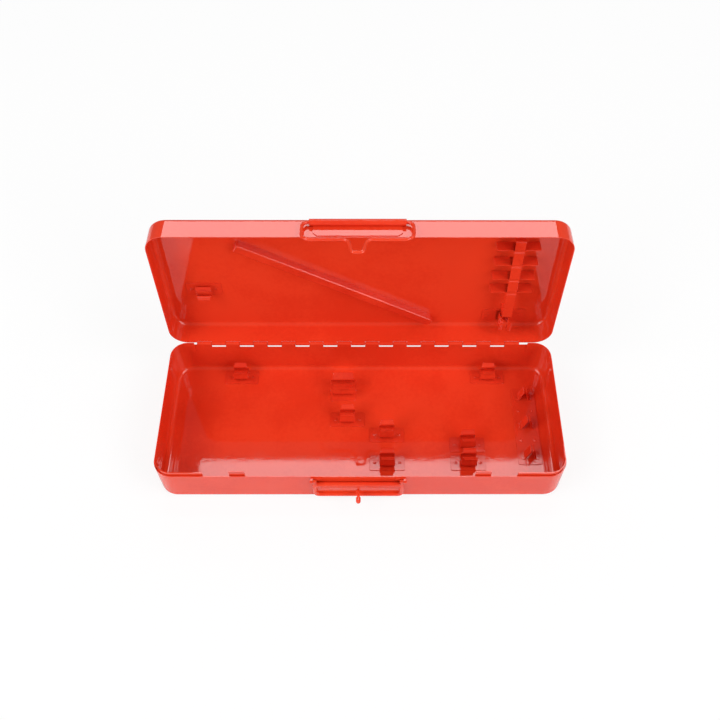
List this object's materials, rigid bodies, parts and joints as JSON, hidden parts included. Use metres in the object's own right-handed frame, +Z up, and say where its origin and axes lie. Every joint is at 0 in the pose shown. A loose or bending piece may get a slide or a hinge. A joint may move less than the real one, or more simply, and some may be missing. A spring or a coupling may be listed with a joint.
{
  "type": "drill bit case",
  "caption": "Shallow pressed sheet-metal tool case with a full-width hinge, a wire latch, a folding handle and spring clips inside.",
  "frame": {"origin": "centre of the base's underside, on the plane it stands on", "axes": "+X to the right seen from the front, +Y to the back where the hinge is, +Z up"},
  "size_m": [0.4, 0.2084, 0.2112],
  "materials": {
    "case_paint": "gloss",
    "clip_paint": "gloss",
    "wire_paint": "gloss"
  },
  "bodies": {
    "base": {"base_tray": "case_paint", "lip_strip_left": "case_paint", "lip_strip_right": "case_paint", "front_tab_left": "case_paint", "front_tab_right": "case_paint", "hinge_pin": "wire_paint", "handle_bracket_left": "wire_paint", "handle_bracket_right": "wire_paint", "handle_pin_left": "wire_paint", "handle_pin_right": "wire_paint", "clip_rear_left": "clip_paint", "clip_rear_right": "clip_paint", "clip_large": "clip_paint", "clip_small": "clip_paint", "clip_mid_left": "clip_paint", "clip_mid_right": "clip_paint", "clip_front_left": "clip_paint", "clip_front_right": "clip_paint", "clip_row_strip": "clip_paint", "row_clip_back": "clip_paint", "row_clip_middle": "clip_paint", "row_clip_front": "clip_paint"},
    "lid": {"lid_shell": "case_paint", "latch_plate": "case_paint", "lid_clip_left": "clip_paint", "lid_clip_right": "clip_paint", "lid_rail": "clip_paint", "rack_spine": "clip_paint", "rack_shelf_1": "clip_paint", "rack_shelf_2": "clip_paint", "rack_shelf_3": "clip_paint", "rack_shelf_4": "clip_paint"},
    "bail": {"latch_bail": "wire_paint"},
    "handle": {"handle_grip": "wire_paint", "catch_stud": "wire_paint"}
  },
  "joints": [
    {"name": "lid_hinge", "type": "hinge", "parent": "base", "child": "lid", "pos_m": [0, 0.0782, 0.044], "axis": [1, 0, 0], "range_deg": [0, 94]},
    {"name": "latch_bail", "type": "hinge", "parent": "lid", "child": "bail", "pos_m": [0, 0.10542, 0.20108], "axis": [-1, 0, 0], "range_deg": [0, 150]},
    {"name": "handle", "type": "hinge", "parent": "base", "child": "handle", "pos_m": [0, -0.0801, 0.0395], "axis": [-1, 0, 0], "range_deg": [0, 90]}
  ]
}
